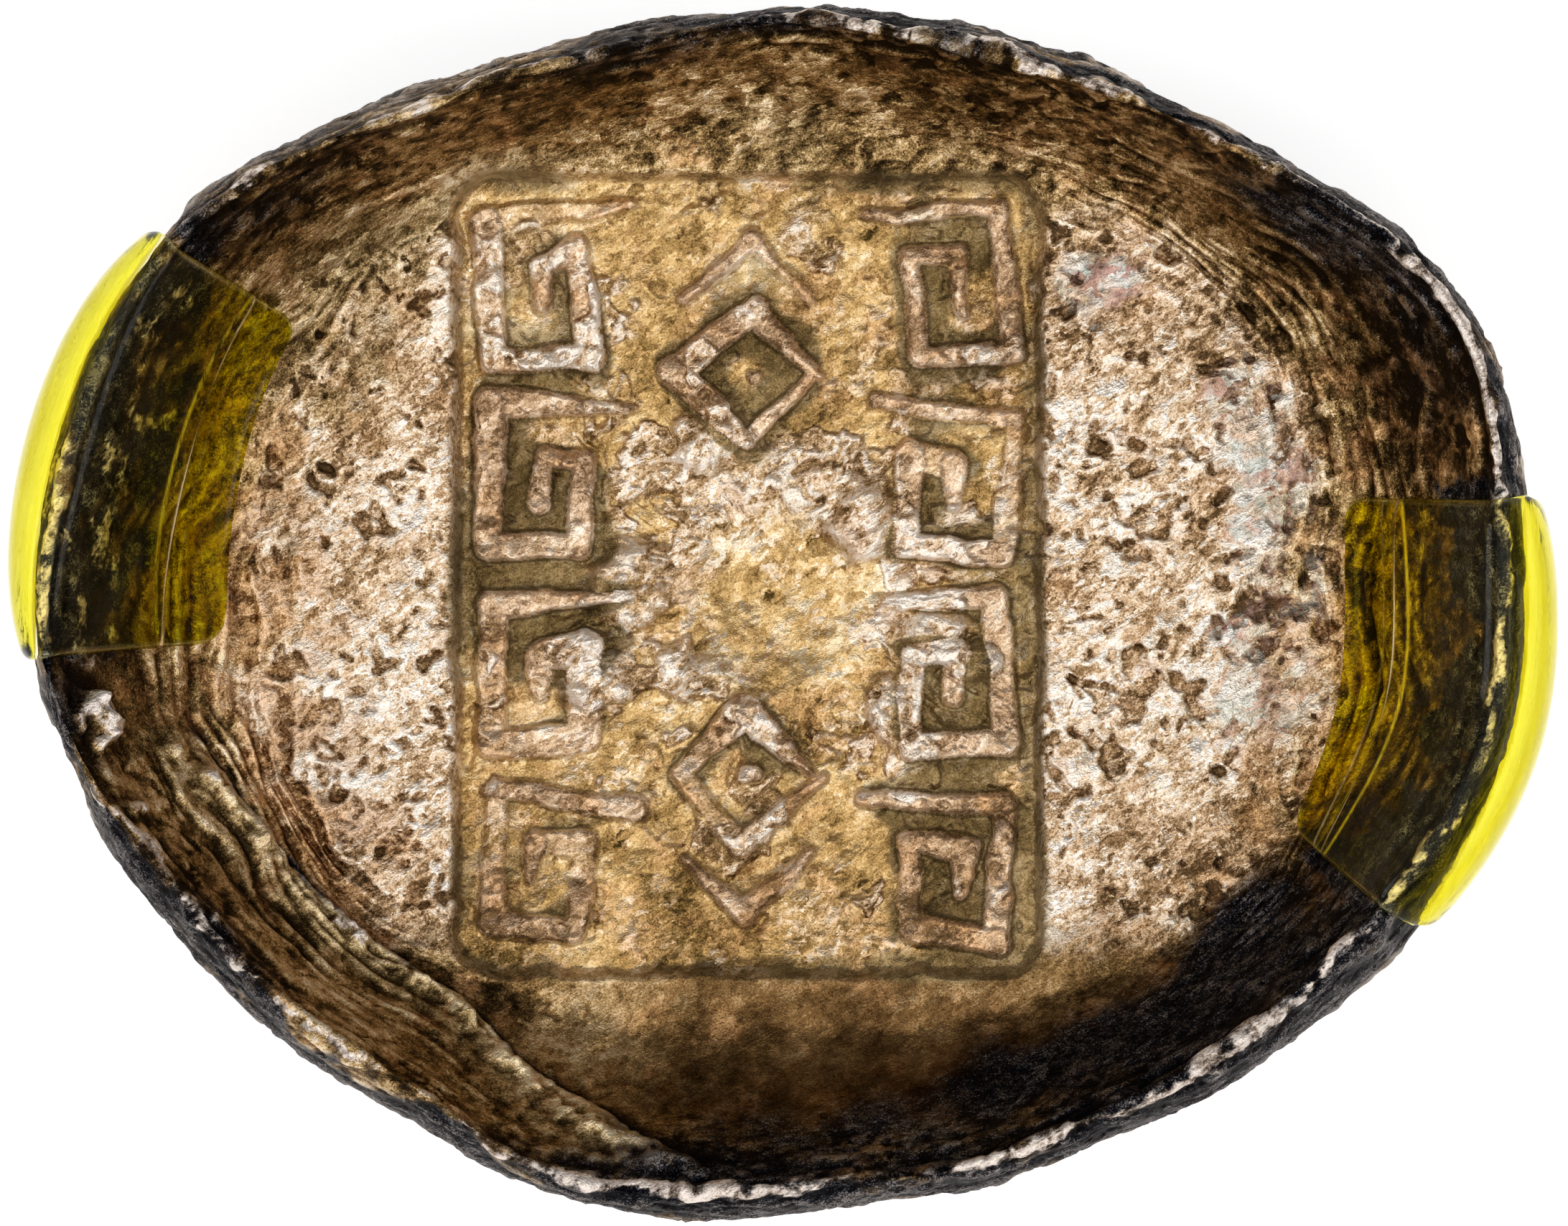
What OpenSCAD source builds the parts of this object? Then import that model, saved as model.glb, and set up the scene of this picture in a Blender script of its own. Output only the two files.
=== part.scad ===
// Oval cast silver ingot with a rippled dish and a struck panel, gripped by two moulded rim clips.
// Millimetres, +Z up, X along the oval. The origin is the centre of the flat foot.

/* [Casting] */
// Half length of the oval at its belly, along X
half_length = 33; // [29:0.5:37]
// Half width of the oval at its belly, along Y
half_width = 26.7; // [24:0.1:30]
// Height of the rim crest over the foot, at the long sides
crest_height = 23; // [20:0.5:27]
// How much higher the crest stands at the two ends
end_rise = 1.8; // [0:0.1:4]
// Height at which the flank is widest
belly_height = 16.5; // [12:0.5:18]
// How far the crest stands inside the belly
crest_inset = 0.7; // [0.5:0.1:1.4]
// Depth of the waves along the crest
crest_wave = 0.35; // [0:0.05:0.5]
// Half length of the flat foot
foot_half_length = 12; // [8:0.5:18]
// Half width of the flat foot
foot_half_width = 9; // [6:0.5:14]

/* [Dish] */
// Depth of the field below the crest, at the long sides
dish_depth = 7; // [5:0.5:9]
// Half length of the field
field_half_length = 23.6; // [21:0.2:24.6]
// Half width of the field
field_half_width = 19; // [18:0.2:20]
// Field centre, along X
field_x = 0.6; // [-1:0.1:1]
// Field centre, along Y
field_y = 0.9; // [-1:0.1:1.2]
// How far the field sags in the middle
field_sag = 0.6; // [0:0.1:1.2]
// Number of ripples down the dish wall
ripple_count = 6; // [3:1:8]
// Height of a ripple
ripple_height = 0.1; // [0:0.02:0.16]
// Height of the terrace where the skin folded over itself, along the wall near the left end
fold_height = 0.55; // [0:0.05:0.7]
// Radius of the largest splash bead on the rim
bead_radius = 0.9; // [0.4:0.1:1.1]

/* [Struck panel] */
// Width of the panel, along X
panel_width = 26.2; // [22:0.2:28]
// Length of the panel, along Y
panel_length = 35.6; // [30:0.2:36]
// Corner radius of the panel
panel_corner = 2; // [1:0.1:4]
// Panel centre, along X
panel_x = -1.3; // [-2:0.1:1]
// Panel centre, along Y
panel_y = 1.7; // [0:0.1:2]
// Depth of the panel floor below the middle of the field
panel_depth = 0.9; // [0.6:0.1:1.4]
// Radius to which the panel floor is hollowed, across its length
panel_hollow = 200; // [150:10:400]
// Width of the raised strokes
stroke_width = 1.2; // [0.8:0.1:1.4]
// Height of the raised strokes over the panel floor
stroke_height = 0.6; // [0.3:0.1:0.8]
// Radius of the smooth hollow in the middle of the panel
hollow_radius = 3.4; // [2:0.1:3.8]
// Depth of the smooth hollow
hollow_depth = 0.8; // [0.4:0.1:1.2]
// Middle of the hollow, along X from the middle of the panel
hollow_x = 1; // [-1:0.1:2]
// Middle of the hollow, along Y from the middle of the panel
hollow_y = -1; // [-2:0.1:2]
// Height of the metal heaped up round the hollow
heap_height = 0.9; // [0.4:0.1:1.2]

/* [Underside] */
// Number of large gas pits over the flank
pit_count = 72; // [20:4:90]
// Radius of the largest pits
pit_radius = 1.7; // [1:0.1:2.2]

/* [Rim clips] */
// Direction of the left clip, in degrees from +X
left_clip_angle = 166; // [155:1:180]
// Direction of the right clip, in degrees from +X
right_clip_angle = -8.5; // [-20:0.5:10]
// Arc that a clip covers, in degrees
clip_arc = 35; // [20:1:44]
// Thickness of the clip over the rim and outside it
clip_wall = 1; // [0.8:0.1:1.6]
// Thickness of the thin flange at the inner edge of the clip
clip_flange = 0.7; // [0.5:0.1:0.8]
// Length of the skirt below the belly, in the middle of the clip
clip_skirt = 6; // [3:0.5:9]
// Gap between a clip and the metal
clip_gap = 0.3; // [0.25:0.05:0.5]
// Share of the dish wall at which the clip steps down to its flange
flange_start = 0.48; // [0.3:0.02:0.6]
// Share of the dish wall that the clip covers
flange_end = 0.82; // [0.75:0.01:0.9]

/* [Hidden] */

// Directions around the oval, and rings up the flank, over the rim, down the wall and across the field
around = 96;
flank_rings = 9;
rim_rings = 5;
wall_rings = 25;
field_rings = 3;
// Sections along a clip, and samples up its skirt and down the wall in each section
clip_sections = 24;
clip_skirt_steps = 8;
clip_wall_steps = 5;
// Share of the skirt that is left at the two ends of a clip
clip_end_share = 0.14;

// Full and quarter turns
full_turn = 360;
quarter = 90;
// Height of the field at its edge
field_z = crest_height - dish_depth;
// Height of the panel floor along its middle line
panel_z = field_z - field_sag - panel_depth;
// How square the ends of the field are: 1 is an ellipse, less is squarer
field_squareness = 0.8;
// How steeply the dish wall leaves the crest
wall_power = 1.7;
// Depth to which added metal runs into the metal below it
root = 0.5;
// Clearance above the casting for cuts that open upward
open_above = 10;
// Facet size of round cuts
$fn = 96;

// Swellings and flats of the oval: direction, half spread in degrees, height
belly_lobes = [
    [24, 16, 1.5], [118, 12, -0.35], [150, 16, 1], [194, 10, -0.3], [214, 22, -1.1], [232, 8, -0.35],
    [255, 10, 0.35], [280, 8, -0.35], [300, 14, -0.5], [320, 8, -0.3], [352, 10, 0.3]];
// Places where the crest leans further in: direction, half spread in degrees, amount
crest_lobes = [[-25, 26, 1.1], [125, 9, 0.4], [222, 24, 0.7], [290, 18, 0.5]];
// Edge of the folded skin: direction in degrees, place as a share of the wall
fold_line = [
    [186, 0.55], [196, 0.61], [209, 0.72], [220, 0.76], [237, 0.73], [245, 0.54], [254, 0.35], [264, 0.1]];
// Degrees over which the fold begins and ends, and shares of the wall over which its terrace swells and drops
fold_ease = 12;
terrace_swell = 0.4;
terrace_drop = 0.06;
// The crumpled lip along the fold's edge: share of the terrace height, and half width as a share of the wall
fold_lip = 0.6;
fold_lip_width = 0.075;
// Splash beads past the left clip's end: degrees past it, place over the rim, share of the largest radius
beads = [[6, 1.12, 1], [14, 1.1, 0.6], [22, 1.04, 0.7], [26, 1.04, 0.55]];
// Heaps round the hollow: place as shares of half the panel, radius, share of the heap height
heaps = [
    [-0.12, 0.35, 1.9, 1], [-0.4, -0.03, 2, 1], [-0.52, -0.26, 1.7, 0.8], [-0.23, -0.25, 1.5, 0.7],
    [0.41, 0.13, 1.9, 1], [0.64, -0.13, 1.4, 0.9], [0.78, -0.22, 1.2, 0.8], [0.5, -0.35, 1.6, 0.8]];
heap_facets = 14;
// Gas pits: turn from one to the next, band of the flank that they lie in, and how they crowd up it
pit_turn = 137.5;
pit_band = [0.08, 0.72];
pit_crowding = 0.75;
// How the pits differ: degrees from one size to the next, least share of the size, and depth over radius
pit_wander = 97;
pit_least = 0.45;
pit_depth = 0.45;
pit_facets = 8;
// Waves along the crest: waves per turn, phase in degrees, share of the wave depth
crest_waves = [[7, 40, 0.6], [11, 15, 0.4]];

// Squared spirals: rows in each side column, and the tilt of each one in degrees, top row first
spiral_rows = 4;
left_tilts = [5, -4, 3, -6];
right_tilts = [-3, 6, -5, 4];
// Width of the plain margin round the panel, and of the plain lane between two spirals
panel_margin = 1.1;
spiral_lane = 1.2;
// Steps across one spiral, side of the square in which it sits, and the step from one turn to the next
spiral_steps = 3;
spiral_side = (panel_length - 2 * panel_margin - (spiral_rows - 1) * spiral_lane) / spiral_rows;
spiral_step = (spiral_side - stroke_width) / spiral_steps;
// Distance of the spiral columns from the middle line
spiral_column = panel_width / 2 - panel_margin - spiral_side / 2;
// The middle lane between the columns, with one lozenge above the hollow and one below it
lane_half = spiral_column - spiral_side / 2 - spiral_lane / 2;
lozenge_y = panel_length / 2 - panel_margin - 2 * lane_half;
lozenge_inner = 0.4;
// A chevron beyond each lozenge: how far out its tip lies and how wide it spreads, as shares of the lane
chevron_out = 1.8;
chevron_spread = 0.75;

function full_circle(a) = a - full_turn * floor(a / full_turn + 1 / 2);
function total(list) = list * [for (item = list) 1];
function lobe(t, l) = l[2] * exp(-pow(full_circle(t - l[0]) / l[1], 2));
function lobes(t, list) = total([for (l = list) lobe(t, l)]);
function waves(t, list) = total([for (w = list) w[2] * sin(w[0] * t + w[1])]);
function oval(a, b, t) = a * b / sqrt(pow(b * cos(t), 2) + pow(a * sin(t), 2));
function polar(r, t, z) = [r * cos(t), r * sin(t), z];
function squared(c) = sign(c) * pow(abs(c), field_squareness);
function unit(v) = v / norm(v);
function eased(x) = (1 - cos(2 * quarter * min(1, max(0, x)))) / 2;

// The casting in each direction: belly, crest and the edge of the field
function belly_r(t) = oval(half_length, half_width, t) + lobes(t, belly_lobes);
function crest_r(t) = belly_r(t) - crest_inset - lobes(t, crest_lobes)
    - crest_wave * (1 + waves(t, crest_waves));
function crest_z(t) = crest_height + end_rise * pow(cos(t), 2) + crest_wave * waves(t + quarter, crest_waves);
function field_edge(t) = [
    field_x + field_half_length * squared(cos(t)),
    field_y + field_half_width * squared(sin(t)),
    field_z];

// Points of the casting from the foot up: flank, rolled rim, dish wall and field
function flank_point(t, s) = let (foot = oval(foot_half_length, foot_half_width, t))
    polar(foot + (belly_r(t) - foot) * sin(quarter * s), t, belly_height * (1 - cos(quarter * s)));
function flank_normal(t, s) = let (turn = 1 / 2, step = 1 / 50)
    unit(cross(
        flank_point(t + turn, s) - flank_point(t - turn, s),
        flank_point(t, s + step) - flank_point(t, s - step)));
function rim_point(t, u) = polar(
    crest_r(t) + (belly_r(t) - crest_r(t)) * cos(quarter * u), t,
    belly_height + (crest_z(t) - belly_height) * sin(quarter * u));
function wall_point(t, v) = let (crest = rim_point(t, 1), edge = field_edge(t))
    [crest.x + (edge.x - crest.x) * v,
     crest.y + (edge.y - crest.y) * v,
     edge.z + (crest.z - edge.z) * pow(1 - v, wall_power)];
function ripple(v) = ripple_height * sin(full_turn * ripple_count * v) * sin(2 * quarter * v);
function fold_there(t, v) = eased(v / fold_lip_width)
    * eased((t - fold_line[0][0]) / fold_ease)
    * eased((fold_line[len(fold_line) - 1][0] - t) / fold_ease + 1 / 2);
function fold(t, v) = let (past = v - lookup(t, fold_line)) fold_height * fold_there(t, v)
    * (eased(1 / 2 - past / terrace_drop) * eased(1 + past / terrace_swell)
        + fold_lip * exp(-pow(past / fold_lip_width + 1, 2)));
function wall_relief(t, v) = [0, 0, ripple(v)] + fold(t, v) * rim_normal(t, 1 + v);
function field_point(t, w) = let (edge = field_edge(t))
    [edge.x + (field_x - edge.x) * w,
     edge.y + (field_y - edge.y) * w,
     field_z - field_sag * (1 - pow(1 - w, 2))];

// One line of the casting from the edge of the foot to the middle of the field
function meridian(t) = [
    for (k = [0 : flank_rings - 1]) flank_point(t, k / flank_rings),
    for (k = [0 : rim_rings - 1]) rim_point(t, k / rim_rings),
    for (k = [0 : wall_rings - 1]) wall_point(t, k / wall_rings) + wall_relief(t, k / wall_rings),
    for (k = [0 : field_rings - 1]) field_point(t, k / field_rings)];
rings = flank_rings + rim_rings + wall_rings + field_rings;

// The casting before it is struck
module casting() {
    middle = around * rings;
    polyhedron(
        points = [
            for (i = [0 : around - 1]) each meridian(full_turn * i / around),
            [field_x, field_y, field_z - field_sag]],
        faces = [
            [for (i = [0 : around - 1]) i * rings],
            for (i = [0 : around - 1]) let (a = i * rings, b = (i + 1) % around * rings) each [
                for (k = [0 : rings - 2]) each [
                    [a + k, a + k + 1, b + k + 1],
                    [a + k, b + k + 1, b + k]],
                [a + rings - 1, middle, b + rings - 1]]]);
}

// Moves to the middle of the panel floor
module at_panel() {
    translate([panel_x, panel_y, panel_z]) children();
}

// A long round bar lying across the panel, touching its floor along the middle line
module floor_bar(deeper) {
    translate([0, 0, panel_hollow])
        rotate([0, quarter, 0])
        cylinder(h = 2 * half_length, r = panel_hollow + deeper, center = true);
}

// Outline of the panel with its corners rounded
module panel_outline() {
    square([panel_width - 2 * panel_corner, panel_length], center = true);
    square([panel_width, panel_length - 2 * panel_corner], center = true);
    for (sx = [-1, 1], sy = [-1, 1])
        translate([sx * (panel_width / 2 - panel_corner), sy * (panel_length / 2 - panel_corner)])
        circle(r = panel_corner);
}

// The metal that the punch pushes away
module panel_cut() {
    at_panel() intersection() {
        translate([0, 0, -root])
            linear_extrude(height = dish_depth + open_above) panel_outline();
        floor_bar(0);
    }
}

// One straight stroke between two corners of a spiral
module stroke(a, b) {
    translate([min(a.x, b.x) - stroke_width / 2, min(a.y, b.y) - stroke_width / 2])
        square([abs(a.x - b.x) + stroke_width, abs(a.y - b.y) + stroke_width]);
}

// A squared spiral that winds in from its outer corner
module spiral() {
    far = spiral_steps;
    corners = [[far, far], [0, far], [0, 0], [far - 1, 0], [far - 1, far - 1], [1, far - 1], [1, 1]];
    translate([-far * spiral_step / 2, -far * spiral_step / 2])
        for (i = [0 : len(corners) - 2])
            stroke(spiral_step * corners[i], spiral_step * corners[i + 1]);
}

// A lozenge frame with a small lozenge inside it
module lozenge() {
    reach = lane_half * sqrt(2);
    rotate(quarter / 2) {
        difference() {
            square(reach, center = true);
            square(reach - 2 * stroke_width, center = true);
        }
        square(reach * lozenge_inner - stroke_width / 2, center = true);
    }
}

// A chevron that points away from the middle of the panel
module chevron() {
    arm = lane_half * chevron_spread * sqrt(2);
    translate([0, lane_half * chevron_out]) rotate(-quarter - quarter / 2) {
        square([arm, stroke_width]);
        square([stroke_width, arm]);
    }
}

// The raised pattern seen from above: two columns of spirals, and a lozenge and a chevron at each end
module pattern() {
    for (row = [0 : spiral_rows - 1]) {
        y = panel_length / 2 - panel_margin - spiral_side / 2 - row * (spiral_side + spiral_lane);
        translate([-spiral_column, y]) rotate(left_tilts[row]) spiral();
        translate([spiral_column, y]) mirror([1, 0]) rotate(right_tilts[row]) spiral();
    }
    for (end = [0, 1])
        rotate(end * 2 * quarter) translate([0, lozenge_y]) {
            lozenge();
            chevron();
        }
}

// The raised strokes, following the hollowed floor
module relief() {
    at_panel() intersection() {
        translate([0, 0, -root])
            linear_extrude(height = dish_depth) pattern();
        difference() {
            floor_bar(root / 2);
            floor_bar(-stroke_height);
        }
    }
}

// The smooth hollow where the metal shrank
module hollow() {
    ball = (pow(hollow_radius, 2) + pow(hollow_depth, 2)) / (2 * hollow_depth);
    at_panel() translate([hollow_x, hollow_y, ball - hollow_depth]) sphere(r = ball);
}

// Metal heaped up round the hollow by the punch
module heaped_metal() {
    at_panel() for (h = heaps) {
        y = h[1] * panel_length / 2;
        translate([h[0] * panel_width / 2, y, pow(y, 2) / (2 * panel_hollow)])
            scale([1, 1, heap_height * h[3] / h[2]])
            sphere(r = h[2], $fn = heap_facets);
    }
}

// The large gas pits of the underside, strewn over the flank from the foot up
module gas_pits() {
    for (k = [0 : pit_count - 1]) {
        t = pit_turn * k;
        up = pit_band[0] + (pit_band[1] - pit_band[0]) * pow((k + 1 / 2) / pit_count, pit_crowding);
        size = pit_radius * (pit_least + (1 - pit_least) * (1 + sin(pit_wander * k)) / 2);
        translate(flank_point(t, up) + (1 - pit_depth) * size * flank_normal(t, up))
            sphere(r = size, $fn = pit_facets);
    }
}

// Drops of metal that splashed on to the rim and stuck there
module splash_beads() {
    for (b = beads)
        translate(over_rim(left_clip_angle + clip_arc / 2 + b[0], b[1]))
            sphere(r = bead_radius * b[2]);
}

// Cast silver ingot
module ingot() {
    color([0.62, 0.53, 0.42]) difference() {
        union() {
            difference() {
                casting();
                panel_cut();
            }
            relief();
            heaped_metal();
            splash_beads();
        }
        hollow();
        gas_pits();
    }
}

// Rim and wall as one run: 0 is the belly, 1 the crest, 2 the edge of the field
function over_rim(t, q) = q < 1 ? rim_point(t, q) : wall_point(t, q - 1);
// The way out of the metal there, which at the crest halves the corner between rim and wall
function rim_normal(t, q) = let (turn = 1 / 2, step = 1 / 50, here = over_rim(t, q))
    unit(cross(
        over_rim(t + turn, q) - over_rim(t - turn, q),
        unit(over_rim(t, q + step) - here) + unit(here - over_rim(t, q - step))));
function rim_offset(t, q, out) = over_rim(t, q) + out * rim_normal(t, q);

// Share of the full skirt at each place along a clip, which is rounded off towards both ends
function skirt_share(t, middle) = max(clip_end_share,
    sqrt(max(0, 1 - pow(2 * full_circle(t - middle) / clip_arc, 2))));
// A point outside the rim at a height, straight below the belly once it is lower than that
function skirt_point(t, z, out) = z < belly_height
    ? rim_offset(t, 0, out) - [0, 0, belly_height - z]
    : rim_offset(t, asin((z - belly_height) / (crest_z(t) - belly_height)) / quarter, out);

// Stations of a clip down the dish wall: share of the wall, and thickness
wall_stations = [
    for (k = [0 : clip_wall_steps]) [flange_start * k / clip_wall_steps, clip_wall],
    [flange_start, clip_flange],
    [flange_end, clip_flange]];
stations = clip_skirt_steps + len(wall_stations);

// Depth of each sample of the skirt below the crest, as a share of its reach: they lie closest over the rim
function skirt_depth(k) = pow(1 - k / clip_skirt_steps, 2);

// One face of a clip in one direction, from the lower edge of its skirt to the end of its flange
function clip_face(t, middle, outer) =
    let (reach = skirt_share(t, middle) * (crest_z(t) - belly_height + clip_skirt)) [
    for (k = [0 : clip_skirt_steps - 1])
        skirt_point(t, crest_z(t) - reach * skirt_depth(k), clip_gap + outer * clip_wall),
    for (s = wall_stations) rim_offset(t, 1 + s[0], clip_gap + outer * s[1])];

// Cross-section of a clip in one direction: its inner face out to the flange, then its outer face back
function clip_section(t, middle) = let (face = clip_face(t, middle, 1)) [
    each clip_face(t, middle, 0),
    for (k = [stations - 1 : -1 : 0]) face[k]];

// A moulded clip that hooks over the rim, in the direction given
module rim_clip(angle) {
    n = 2 * stations;
    start = angle - clip_arc / 2;
    last = clip_sections * n;
    polyhedron(
        points = [
            for (j = [0 : clip_sections]) each clip_section(start + clip_arc * j / clip_sections, angle)],
        faces = [
            for (k = [0 : stations - 2]) each [
                [k, k + 1, n - 2 - k],
                [k, n - 2 - k, n - 1 - k],
                [last + k, last + n - 2 - k, last + k + 1],
                [last + k, last + n - 1 - k, last + n - 2 - k]],
            for (j = [0 : clip_sections - 1], k = [0 : n - 1])
                let (a = j * n, b = a + n, m = (k + 1) % n) each [
                    [a + k, b + m, a + m],
                    [a + k, b + k, b + m]]]);
}

// Clear plastic clip over the left end of the rim
module left_clip() {
    color([0.85, 0.8, 0.12, 0.6]) rim_clip(left_clip_angle);
}

// Clear plastic clip over the right end of the rim
module right_clip() {
    color([0.85, 0.8, 0.12, 0.6]) rim_clip(right_clip_angle);
}

ingot();
left_clip();
right_clip();
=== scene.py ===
import math

import bpy
import numpy as np
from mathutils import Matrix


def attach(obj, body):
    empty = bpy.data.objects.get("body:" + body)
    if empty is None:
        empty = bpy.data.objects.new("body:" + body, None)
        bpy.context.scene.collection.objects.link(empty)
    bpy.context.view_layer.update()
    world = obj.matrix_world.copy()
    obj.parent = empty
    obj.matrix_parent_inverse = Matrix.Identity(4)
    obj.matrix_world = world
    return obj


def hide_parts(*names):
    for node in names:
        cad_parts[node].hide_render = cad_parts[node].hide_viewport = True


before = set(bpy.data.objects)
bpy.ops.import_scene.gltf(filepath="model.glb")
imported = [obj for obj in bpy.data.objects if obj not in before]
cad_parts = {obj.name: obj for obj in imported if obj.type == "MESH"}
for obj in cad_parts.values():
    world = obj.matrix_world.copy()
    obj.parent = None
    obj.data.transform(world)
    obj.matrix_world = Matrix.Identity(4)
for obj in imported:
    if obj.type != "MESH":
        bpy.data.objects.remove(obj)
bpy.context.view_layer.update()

# The ingot is one pour of silver into an oval mould: a flat foot, a bowl-shaped flank, a rolled rim and a dish
# whose wall set in ripples. A punch struck the panel in the dish while the metal was soft, and a century of
# handling has worn the high places bright and left the low ones brown and the rim black.
# In the colours, the bright high places and brown low ones also carry painted highlights and painted shade.
millimetre = 0.001
half_length, half_width = 33.0, 26.7
crest_height, end_rise, belly_height = 23.0, 1.8, 16.5
crest_inset, crest_wave = 0.7, 0.35
foot_half_length, foot_half_width, foot_middle = 12.0, 9.0, 0.04
dish_depth, field_sag, wall_curve, field_square = 7.0, 0.6, 1.7, 0.8
field_half_length, field_half_width, field_x, field_y = 23.6, 19.0, 0.6, 0.9
field_z = crest_height - dish_depth
wall_run, field_run, rim_reach = 8, 22, 32
panel_width, panel_length, panel_corner, panel_x, panel_y = 26.2, 35.6, 2.0, -1.3, 1.7
left_clip_at, right_clip_at, clip_arc = 166.0, -8.5, 35.0
belly_lobes = [(24, 16, 1.5), (118, 12, -0.35), (150, 16, 1.0), (194, 10, -0.3), (214, 22, -1.1), (232, 8, -0.35)]
belly_lobes += [(255, 10, 0.35), (280, 8, -0.35), (300, 14, -0.5), (320, 8, -0.3), (352, 10, 0.3)]
crest_lobes = [(-25, 26, 1.1), (125, 9, 0.4), (222, 24, 0.7), (290, 18, 0.5)]
cells, grain_swing = 48, 1.6
lattice = np.random.default_rng(11).random((cells, cells, cells))


def grain(points, size, octaves=1, seed=0):
    """Smooth chance relief from about -1 to 1, with lumps of this size in millimetres."""
    total, weight, most = 0.0, 1.0, 0.0
    for octave in range(octaves):
        place = points * (2.0**octave / size) + 13.7 * seed + 5.3 * octave
        cell = np.floor(place)
        u, v, w = np.moveaxis((place - cell) ** 2 * (3 - 2 * (place - cell)), -1, 0)
        i, j, k = np.moveaxis(cell.astype(int) % cells, -1, 0)
        i, j, k = (i, (i + 1) % cells), (j, (j + 1) % cells), (k, (k + 1) % cells)
        layer = [
            (1 - u) * ((1 - v) * lattice[i[0], j[0], n] + v * lattice[i[0], j[1], n])
            + u * ((1 - v) * lattice[i[1], j[0], n] + v * lattice[i[1], j[1], n])
            for n in k
        ]
        total = total + weight * (2 * ((1 - w) * layer[0] + w * layer[1]) - 1)
        most, weight = most + weight, weight / 2
    return grain_swing * total / most


def rise(x, low, high):
    """From 0 at low to 1 at high, with both ends eased."""
    t = np.clip((x - low) / (high - low), 0, 1)
    return t * t * (3 - 2 * t)


def fall(x, low, high):
    """From 1 at low to 0 at high, with both ends eased."""
    return rise(-x, -high, -low)


def hump(x, wide, y=0.0, tall=1.0):
    """1 in the middle, dying away to all sides over these widths."""
    return np.exp(-((x / wide) ** 2) - (y / tall) ** 2)


def lobes(angle, places):
    """Swellings around the oval, each given by its direction, half spread in degrees and height."""
    return sum(tall * hump(((angle - at + 180) % 360) - 180, wide) for at, wide, tall in places)


def oval(a, b, angle):
    """Radius of an oval with these half lengths, in this direction."""
    c, s = np.cos(np.radians(angle)), np.sin(np.radians(angle))
    return a * b / np.sqrt((b * c) ** 2 + (a * s) ** 2)


def crest_waves(angle):
    """The uneven run of the crest, from -1 to 1."""
    return 0.6 * np.sin(np.radians(7 * angle + 40)) + 0.4 * np.sin(np.radians(11 * angle + 15))


def belly_radius(angle):
    return oval(half_length, half_width, angle) + lobes(angle, belly_lobes)


def crest_radius(angle):
    return belly_radius(angle) - crest_inset - lobes(angle, crest_lobes) - crest_wave * (1 + crest_waves(angle))


def crest_level(angle):
    return crest_height + end_rise * np.cos(np.radians(angle)) ** 2 + crest_wave * crest_waves(angle + 90)


def polar(radius, angle, height):
    """Points at this distance from the middle, direction and height."""
    a = np.radians(angle)
    return np.stack(np.broadcast_arrays(radius * np.cos(a), radius * np.sin(a), height), axis=-1)


def over_rim(angle, along):
    """A point of the smooth casting: 0 is the belly, 1 the crest, 2 the edge of the field."""
    up = np.radians(90 * np.minimum(along, 1))
    rim = polar(
        crest_radius(angle) + (belly_radius(angle) - crest_radius(angle)) * np.cos(up),
        angle,
        belly_height + (crest_level(angle) - belly_height) * np.sin(up),
    )
    c, s = np.cos(np.radians(angle)), np.sin(np.radians(angle))
    edge = np.stack(
        np.broadcast_arrays(
            field_x + field_half_length * np.sign(c) * np.abs(c) ** field_square,
            field_y + field_half_width * np.sign(s) * np.abs(s) ** field_square,
            field_z,
        ),
        axis=-1,
    )
    down = np.clip(along - 1, 0, 1)[..., None]
    wall = rim + (edge - rim) * down
    wall[..., 2] = edge[..., 2] + (rim[..., 2] - edge[..., 2]) * (1 - down[..., 0]) ** wall_curve
    return np.where((along > 1)[..., None], wall, rim)


def up_flank(angle, part):
    """A point of the smooth flank, from 0 at the edge of the foot to 1 at the belly."""
    foot, turn = oval(foot_half_length, foot_half_width, angle), np.radians(90 * part)
    return polar(foot + (belly_radius(angle) - foot) * np.sin(turn), angle, belly_height * (1 - np.cos(turn)))


around, foot_rings, flank_rings, rim_rings, wall_rings, field_rings = 1080, 40, 70, 42, 100, 190
angle = (np.arange(around) * 360 / around)[None, :]
foot_part = np.linspace(foot_middle, 1, foot_rings, endpoint=False)[:, None]
flank_part, rim_part, wall_part, field_part = [
    np.linspace(0, 1, steps, endpoint=False)[:, None] for steps in (flank_rings, rim_rings, wall_rings, field_rings)
]
edge = over_rim(angle + 0 * field_part, 2 + 0 * (field_part + angle))
middle = np.array([field_x, field_y, field_z - field_sag])
field = edge + (middle - edge) * field_part[..., None]
field[..., 2] = field_z - field_sag * (1 - (1 - field_part) ** 2)
surface = np.concatenate(
    [
        polar(oval(foot_half_length, foot_half_width, angle) * foot_part, angle, 0 * foot_part),
        up_flank(angle, flank_part),
        over_rim(angle + 0 * rim_part, rim_part + 0 * angle),
        over_rim(angle + 0 * wall_part, 1 + wall_part + 0 * angle),
        field,
    ]
)
# How far each ring has gone: 0 to 1 over the flank, to 2 at the crest, to 3 at the field, to 4 at the middle
along = np.concatenate([0 * foot_part, flank_part, 1 + rim_part, 2 + wall_part, 3 + field_part]) + 0 * angle
angle = angle + 0 * along


def facing(points):
    """The direction in which each place of the skin looks, as an arrow of length 1."""
    sideways = np.roll(points, -1, axis=1) - np.roll(points, 1, axis=1)
    arrows = np.cross(sideways, np.gradient(points, axis=0))
    return arrows / np.maximum(np.linalg.norm(arrows, axis=-1, keepdims=True), 1e-9)


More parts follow.
